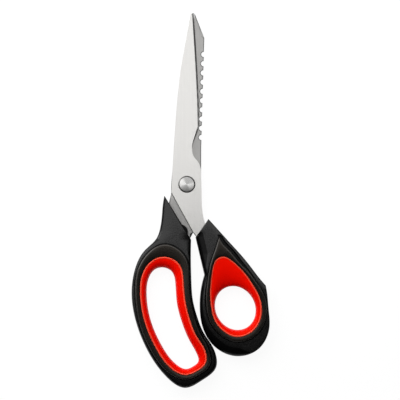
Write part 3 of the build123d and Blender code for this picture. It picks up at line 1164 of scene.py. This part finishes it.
@dataclass
class FingerHandle(Handle):
    """The horn and the finger loop, with its collar and its red liner."""

    hole_width: float = 34.8
    hole_length: float = 68.0
    hole_x: float = -9.6
    hole_y: float = -89.7
    liner_wall: float = 4.4
    collar_wall: float = 3.4
    rim_wall: float = 2.0
    horn_width: float = 20.0
    horn_reach: float = 44.0
    flank_round: float = 1.6
    flank_broad: float = 9.0
    flank_drop: float = 2.6
    horn_flank: float = 4.0
    horn_shade_share: float = 0.13
    rim_shade_share: float = 0.5
    inner_round: float = 1.1
    groove_broad: float = 0.75
    groove_deep: float = 1.5
    hole_shares: Pairs = (
        (-0.39, 1.00), (-0.03, 0.92), (0.11, 0.69), (0.165, 0.32), (0.36, -0.075), (0.645, -0.43),
        (0.95, -0.72), (0.995, -0.85), (0.82, -0.94), (0.52, -1.00), (0.175, -0.92), (-0.40, -0.55),
        (-0.815, -0.075), (-0.995, 0.475), (-0.88, 0.83), (-0.66, 0.965))
    liner_shares: tuple[float, ...] = (
        1.65, 1.60, 1.30, 1.35, 1.30, 1.30, 1.40, 1.20, 1.00, 1.00, 1.05, 1.02, 1.00, 1.02, 1.15, 1.35)
    collar_shares: tuple[float, ...] = (
        2.50, 1.75, 1.12, 1.08, 1.00, 0.88, 0.72, 0.80, 0.76, 0.80, 0.92, 1.05, 1.05, 0.97, 1.15, 1.55)
    rim_shares: tuple[float, ...] = (
        0, 0, 0.70, 0.65, 0.90, 1.10, 1.60, 2.30, 2.10, 2.80, 1.50, 0.98, 0.93, 1.15, 0.90, 0)
    horn_tip_share: tuple[float, float] = (-0.750, -0.172)
    horn_foot_share: tuple[float, float] = (0.145, -0.845)
    horn_side_shares: Pairs = (
        (-1.400, -1.000), (-1.020, -0.825), (-0.880, -0.636), (-0.835, -0.482), (-0.806, -0.320))

    def stations(self) -> tuple[Points, Points, Points]:
        """The clockwise stations of the hole, the liner's edge and the collar's edge."""
        hole = placed(self.hole_shares, self.hole_width / 2, self.hole_length / 2)
        hole += (self.hole_x, self.hole_y)
        liner = grown(hole, self.liner_wall * np.array(self.liner_shares))
        collar = grown(liner, self.collar_wall * np.array(self.collar_shares))
        return hole, liner, collar

    def shell(self, collar: Points) -> tuple[Points, Points]:
        """The handle's outline as its inner wall and the rest.

        Args:
            collar: Stations of the collar's edge.

        Returns:
            Clockwise points of the horn's inner wall, and of the loop and the horn's outer side.
        """
        rim = self.rim_wall * np.array(self.rim_shares)
        loop = grown(collar, rim)[rim > 0]
        tip, foot = placed((self.horn_tip_share, self.horn_foot_share), self.horn_width, self.horn_reach)
        side = placed(self.horn_side_shares, self.horn_width, self.horn_reach)
        wall = np.concatenate([straight(tip, foot), [foot]])
        return wall, smooth(np.concatenate([[foot], loop, side, [tip]]), False)

    def build(self) -> list[bpy.types.Object]:
        """Makes the handle, its collar and its liner.

        Returns:
            The three pieces.
        """
        hole, liner, collar = self.stations()
        rings = matched((hole, liner, collar), self.least_points)
        hole_line, liner_line, collar_line = (line[::-1] for line in rings)
        wall, rest = self.shell(collar)
        inner = Edge(wall[::-1], self.inner_round, self.inner_round)
        outer_line = rest[::-1]
        room = nearest(outer_line, collar_line, True)[0] - self.flank_gap
        width = np.clip(room, self.flank_round, self.flank_broad)
        painted_share = np.where(width > self.horn_flank, self.horn_shade_share, self.rim_shade_share)
        outer = Edge(outer_line, width, self.flank_drop, painted_share=painted_share)
        outline = np.concatenate([outer.line[:-1], inner.line[:-1]])
        groove = Groove(collar_line, groove_width(collar_line, self.groove_narrow, self.groove_broad),
                        self.groove_deep)
        plate = Plate(outline, [collar_line], [*inner.rows(), *outer.rows(), *groove.rows()])

        def depth(plan: Points) -> np.ndarray:
            """How far the face lies under its level."""
            return np.maximum(np.maximum(inner.depth(plan), outer.depth(plan)), groove.depth(plan))

        def paint(plan: Points) -> np.ndarray:
            """Marks the steep edges and the groove for painted shade."""
            return inner.dark(plan) | outer.dark(plan) | groove.dark(plan)

        return self.dressed(self.shell_mesh(plate, depth, paint), collar_line, liner_line, hole_line)


def grown(points: Points, walls: np.ndarray) -> Points:
    """Moves each station of a clockwise outline outwards, square to its neighbours.

    Args:
        points: The stations.
        walls: How far each one moves.

    Returns:
        The moved stations.
    """
    run = np.roll(points, -1, 0) - np.roll(points, 1, 0)
    run = run / np.hypot(*run.T)[:, None]
    return points + np.stack([-run[:, 1], run[:, 0]], 1) * walls[:, None]


def matched(rings: Sequence[Points], least: int) -> list[Points]:
    """Closed smooth curves whose points lie opposite each other.

    Args:
        rings: As many stations for each curve; the last ring's gaps set how many points each span gets.
        least: The fewest points of a span.

    Returns:
        One line for each ring.
    """
    gaps = np.hypot(*(np.roll(rings[-1], -1, 0) - rings[-1]).T)
    counts = np.maximum(least, np.round(gaps / LINE_STEP)).astype(int)
    return [smooth(stations, True, counts=counts) for stations in rings]


def groove_width(line: Points, narrow: float, broad: float | np.ndarray) -> np.ndarray:
    """Widths of a groove that is broader on the right of its ring.

    Args:
        line: Anticlockwise points of the ring.
        narrow: The width on the left.
        broad: The width on the right.

    Returns:
        The width at each point.
    """
    run = np.roll(line, -1, 0) - np.roll(line, 1, 0)
    right = run[:, 1] / np.hypot(*run.T)
    return narrow + (broad - narrow) * eased((right - GROOVE_TURN_START) / GROOVE_TURN_SPAN)


@dataclass
class ThumbHandle(Handle):
    """The slanted head and the thumb ring, with its peaked collar and its red scoop."""

    name: str = "thumb"
    body: Body = Body.THUMB
    least_points: int = 3
    collar_fall: float = 0.3
    groove_narrow: float = 0.45
    hole_length: float = 30.2
    hole_width: float = 26.3
    hole_tilt: float = 119.0
    hole_x: float = 32.5
    hole_y: float = -82.9
    liner_wall: float = 4.4
    collar_wall: float = 3.3
    rim_wall: float = 4.0
    head_width: float = 52.0
    head_reach: float = 67.5
    flank_width: float = 3.2
    flank_broad: float = 7.5
    flank_drop: float = 4.2
    flank_shade_share: float = 0.74
    short_edge: float = 0.8
    band_width: float = 2.0
    band_drop: float = 0.45
    band_edge: float = 0.6
    groove_broad: float = 2.3
    groove_start: float = -48.0
    groove_end: float = -66.0
    groove_deep: float = 1.7
    peak_spoke: float = 102.6
    ring_spokes: tuple[float, ...] = (
        110.0, 120.0, 135.0, 155.0, 180.0, 210.0, 240.0, 270.0, 300.0, 330.0, 360.0, 385.0, 410.0,
        430.0, 445.0, 455.0)
    liner_shares: tuple[float, ...] = (
        4.65, 4.60, 3.48, 1.93, 1.00, 0.60, 0.70, 0.87, 1.12, 1.07, 1.00, 1.00, 1.10, 1.36, 2.07, 3.05,
        4.00)
    collar_shares: tuple[float, ...] = (
        4.25, 1.65, 1.05, 0.95, 0.95, 1.00, 1.00, 1.00, 1.00, 1.00, 0.95, 0.95, 1.00, 0.92, 0.91, 0.93,
        1.79)
    last_spoke: float = 461.0
    last_liner_share: float = 4.50
    last_collar_share: float = 2.95
    rim_shares: tuple[float, ...] = (
        0, 0, 0, 0, 0, 1.10, 1.46, 2.10, 2.36, 2.10, 1.08, 0.30, 0.56, 0, 0, 0, 0)
    head_shares: Pairs = ((0.279, -0.344), (0.112, -0.528), (0.225, -0.900), (1.018, -1.005))
    right_shares: Pairs = ((0.956, -0.950), (0.776, -0.771), (0.560, -0.583))

    def spoke(self, angle: float, wall: float) -> tuple[float, float]:
        """A point outside the hole by a wall, along one spoke.

        Args:
            angle: The spoke's angle from +X, in degrees.
            wall: The distance outside the hole.

        Returns:
            The point.
        """
        turn = math.radians(angle - self.hole_tilt)
        long, short = self.hole_length / 2, self.hole_width / 2
        radius = long * short / math.hypot(short * math.cos(turn), long * math.sin(turn)) + wall
        return (self.hole_x + radius * math.cos(math.radians(angle)),
                self.hole_y + radius * math.sin(math.radians(angle)))

    def spokes(self) -> tuple[float, ...]:
        """The angles of all spokes, from the peak round to just before it."""
        return (self.peak_spoke, *self.ring_spokes)

    def collar_walls(self) -> np.ndarray:
        """Distance from the hole to the collar's edge along each spoke."""
        collar = self.collar_wall * np.array(self.collar_shares)
        return self.liner_walls() + collar

    def liner_walls(self) -> np.ndarray:
        """Distance from the hole to the liner's edge along each spoke."""
        return self.liner_wall * np.array(self.liner_shares)

    def ring(self, walls: np.ndarray) -> Points:
        """Stations outside the hole by a wall along each spoke."""
        return np.array([self.spoke(angle, wall) for angle, wall in zip(self.spokes(), walls)])

    def collar_line(self) -> Points:
        """The collar's edge: one smooth curve from its peak round to its peak."""
        stations = self.ring(self.collar_walls())
        last = self.liner_wall * self.last_liner_share + self.collar_wall * self.last_collar_share
        ridge = self.spoke(self.last_spoke, last)
        return smooth(np.vstack([stations, [ridge], stations[:1]]), False)[:-1]

    def shell_edges(self) -> tuple[Points, Points, Points]:
        """The handle's outline in three stretches, anticlockwise.

        Returns:
            The short edge over the blade, the flank with the bottom, and the right side.
        """
        top, corner, knee, shoulder = placed(self.head_shares, self.head_width, self.head_reach)
        right = placed(self.right_shares, self.head_width, self.head_reach)
        walls = zip(self.spokes(), self.collar_walls(), self.rim_shares)
        loop = [self.spoke(angle, wall + self.rim_wall * share) for angle, wall, share in walls if share]
        short = np.concatenate([straight(top, corner), [corner]])
        bottom = smooth(np.array([knee, *loop, shoulder]), False)
        flank = np.concatenate([straight(corner, knee), bottom])
        side = smooth(np.array([shoulder, *right, top]), False)
        return short, flank, side

    def build(self) -> list[bpy.types.Object]:
        """Makes the handle, its collar and its liner.

        Returns:
            The three pieces.
        """
        short_line, flank_line, side_line = self.shell_edges()
        collar = self.collar_line()
        run = np.gradient(flank_line, axis=0)
        facing_right = eased(run[:, 1] / np.hypot(*run.T) * 2)
        room = nearest(flank_line, collar, True)[0] - self.flank_gap
        broad = np.clip(room, self.flank_width, self.flank_broad)
        width = broad + (self.band_edge - broad) * facing_right
        drop = self.flank_drop + (self.band_edge - self.flank_drop) * facing_right
        short = Edge(short_line, self.short_edge, self.short_edge)
        flank = Edge(flank_line, width, drop, painted_share=self.flank_shade_share)
        side = Edge(side_line, self.band_edge, self.band_edge)
        band = Edge(side_line, self.band_width, self.band_drop, EdgeForm.CHAMFER)
        outline = np.concatenate([short.line[:-1], flank.line[:-1], side.line[:-1]])
        share = eased((collar[:, 1] - self.groove_end) / (self.groove_start - self.groove_end))
        broad = self.groove_narrow + (self.groove_broad - self.groove_narrow) * share
        groove = Groove(collar, groove_width(collar, self.groove_narrow, broad), self.groove_deep)
        edges = (short, flank, side, band, groove)
        plate = Plate(outline, [collar], [row for edge in edges for row in edge.rows()])

        def depth(plan: Points) -> np.ndarray:
            """How far the face lies under its level."""
            rounded = np.maximum(np.maximum(short.depth(plan), flank.depth(plan)), side.depth(plan))
            return np.maximum(rounded + band.depth(plan), groove.depth(plan))

        def paint(plan: Points) -> np.ndarray:
            """Marks the steep edges and the groove for painted shade."""
            return np.any([edge.dark(plan) for edge in (flank, side, groove)], 0)

        walls = self.liner_walls()
        hole, liner = matched((self.ring(walls * 0), self.ring(walls)), self.least_points)
        return self.dressed(self.shell_mesh(plate, depth, paint), collar, liner, hole)


@dataclass
class SmallHardware:
    """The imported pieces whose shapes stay: they only get their finishes."""

    finishes: tuple[tuple[str, Steel | Moulding], ...] = (
        ("closing_bumper", BUMPER_RUBBER), ("pivot_nut", SPRING_STEEL), ("spring_washer", SPRING_STEEL),
        ("friction_washer", WASHER_PLASTIC))

    def build(self) -> list[bpy.types.Object]:
        """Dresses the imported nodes.

        Returns:
            The nodes.
        """
        pieces = []
        for node, finish in self.finishes:
            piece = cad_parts[node]
            piece.data.materials.clear()
            piece.data.materials.append(made_material(finish))
            pieces.append(piece)
        return pieces


@dataclass
class Studio:
    """The pale floor, the soft lights and the camera that looks straight down. Sizes are in metres."""

    view_span: float = 0.268
    view_centre: tuple[float, float] = (0.00884, -0.01052)
    camera_height: float = 0.6
    floor_radius: float = 3.0
    wall_height: float = 0.25
    wall_depth: float = 1.5
    floor_sides: int = 64
    floor_level: float = -0.0002
    sky_levels: tuple[float, float] = (0.1, 0.8)
    sky_strengths: tuple[float, float] = (0.02, 0.035)
    overhead_size: tuple[float, float] = (0.6, 0.5)
    overhead_place: tuple[float, float, float] = (-0.12, 0.18, 0.26)
    overhead_turn: float = 15.0
    overhead_power: float = 1.0
    left_size: tuple[float, float] = (0.6, 0.3)
    left_place: tuple[float, float, float] = (-0.62, 0.42, 0.24)
    left_power: float = 1.7
    fill_size: tuple[float, float] = (1.2, 1.2)
    fill_place: tuple[float, float, float] = (-0.30, 0.66, 0.66)
    fill_power: float = 10.3

    def light(self, name: str, size: tuple[float, float], place: tuple[float, float, float],
              power: float, mirrored: bool = True, target: tuple[float, float, float] = (0.0, 0.0, 0.0),
              turn: float = 0.0) -> None:
        """Adds a soft rectangular light that faces the shears.

        Args:
            name: The light's name.
            size: Its sides.
            place: Its centre.
            power: Its power in watts.
            mirrored: Whether glossy surfaces show it.
            target: The point that it faces.
            turn: Its turn about its own axis, in degrees.
        """
        lamp = bpy.data.lights.new(name, "AREA")
        lamp.shape = "RECTANGLE"
        lamp.size, lamp.size_y = size
        lamp.energy = power
        holder = bpy.data.objects.new(name, lamp)
        holder.location = place
        facing = (Vector(target) - Vector(place)).to_track_quat("-Z", "Y").to_matrix()
        holder.rotation_euler = (facing @ Matrix.Rotation(math.radians(turn), 3, "Z")).to_euler()
        holder.visible_camera = False
        holder.visible_glossy = mirrored
        bpy.context.scene.collection.objects.link(holder)

    def world(self) -> None:
        """Lights the shears softly from all round, most from above."""
        world = bpy.data.worlds.new("surroundings")
        bpy.context.scene.world = world
        world.use_nodes = True
        tree = world.node_tree
        tree.nodes.clear()
        place = tree.nodes.new("ShaderNodeTexCoord").outputs["Generated"]
        split = tree.nodes.new("ShaderNodeSeparateXYZ")
        tree.links.new(place, split.inputs[0])
        rise = tree.nodes.new("ShaderNodeMapRange")
        rise.interpolation_type = "SMOOTHSTEP"
        for socket, value in zip(rise.inputs[1:5], (*self.sky_levels, *self.sky_strengths)):
            socket.default_value = value
        tree.links.new(split.outputs[2], rise.inputs[0])
        soft = tree.nodes.new("ShaderNodeBackground")
        soft.inputs[0].default_value = (1.0, 1.0, 1.0, 1)
        tree.links.new(rise.outputs[0], soft.inputs[1])
        output = tree.nodes.new("ShaderNodeOutputWorld")
        tree.links.new(soft.outputs[0], output.inputs[0])

    def camera(self) -> None:
        """Adds the camera over the shears, with the blades pointing up the picture."""
        lens = bpy.data.cameras.new("camera")
        lens.type = "ORTHO"
        lens.ortho_scale = self.view_span
        holder = bpy.data.objects.new("camera", lens)
        holder.location = (*self.view_centre, self.camera_height)
        bpy.context.scene.collection.objects.link(holder)
        bpy.context.scene.camera = holder

    def floor(self) -> None:
        """Lays the round floor just under the shears, with a low wall round it."""
        mesh = bpy.data.meshes.new("floor")
        rim = circle((0, 0), self.floor_radius, self.floor_sides)
        levels = (self.floor_level, self.wall_height, -self.wall_depth)
        points = [(x, y, height) for height in levels for x, y in rim]
        size = self.floor_sides
        faces = [tuple(range(size))]
        for index in range(size):
            after = (index + 1) % size
            faces.append((index + size, after + size, after, index))
            faces.append((index, after, after + 2 * size, index + 2 * size))
        mesh.from_pydata(points, [], faces)
        mesh.materials.append(PaleFloor().material())
        ground = bpy.data.objects.new("floor", mesh)
        bpy.context.scene.collection.objects.link(ground)

    def build(self) -> None:
        """Sets up the floor, the lights, the surroundings and the camera."""
        self.floor()
        below = (*self.overhead_place[:2], 0.0)
        self.light("overhead", self.overhead_size, self.overhead_place, self.overhead_power, target=below,
                   turn=self.overhead_turn)
        self.light("left", self.left_size, self.left_place, self.left_power)
        self.light("fill", self.fill_size, self.fill_place, self.fill_power, mirrored=False)
        self.world()
        self.camera()
        bpy.context.scene.view_settings.view_transform = "Standard"


def main() -> None:
    """Builds the shears and the studio."""
    logging.basicConfig(level=logging.INFO, format="%(message)s")
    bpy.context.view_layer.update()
    for part in (ThumbBlade(), FingerBlade(), PivotScrew(), FingerHandle(), ThumbHandle(), SmallHardware()):
        for piece in part.build():
            log.info("%s: %d faces", piece.name, len(piece.data.polygons))
    Studio().build()


if __name__ == "__main__":
    main()
